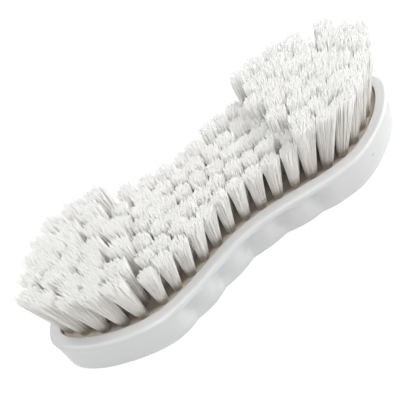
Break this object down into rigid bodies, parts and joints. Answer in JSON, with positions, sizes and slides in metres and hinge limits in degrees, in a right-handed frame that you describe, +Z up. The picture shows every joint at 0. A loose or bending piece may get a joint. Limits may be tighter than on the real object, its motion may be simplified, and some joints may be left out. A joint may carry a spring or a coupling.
{
  "type": "hand scrubbing brush",
  "caption": "Waisted hand scrubbing brush with a raised rim, finger lobes and fanned bristle tufts, tall over both ends and short over the waist, lying on its flat back.",
  "frame": {"origin": "on the flat underside of the handle, below the middle of the brush", "axes": "+X along the brush, +Y across it, +Z up out of the back the way the bristles point"},
  "size_m": [0.205, 0.068, 0.0519],
  "materials": {
    "handle_body": "moulded white plastic, semi-gloss",
    "tuft_board": "matt taupe",
    "bristles": "off-white synthetic filament"
  },
  "bodies": {
    "root": {"handle_body": "handle_body", "tuft_board": "tuft_board", "tuft_row_01": "bristles", "tuft_row_02": "bristles", "tuft_row_03": "bristles", "tuft_row_04": "bristles", "tuft_row_05": "bristles", "tuft_row_06": "bristles", "tuft_row_07": "bristles", "tuft_row_08": "bristles", "tuft_row_09": "bristles", "tuft_row_10": "bristles", "tuft_row_11": "bristles", "tuft_row_12": "bristles", "tuft_row_13": "bristles", "tuft_row_14": "bristles", "tuft_row_15": "bristles", "tuft_row_16": "bristles", "tuft_row_17": "bristles", "tuft_row_18": "bristles", "tuft_row_19": "bristles"}
  },
  "joints": []
}
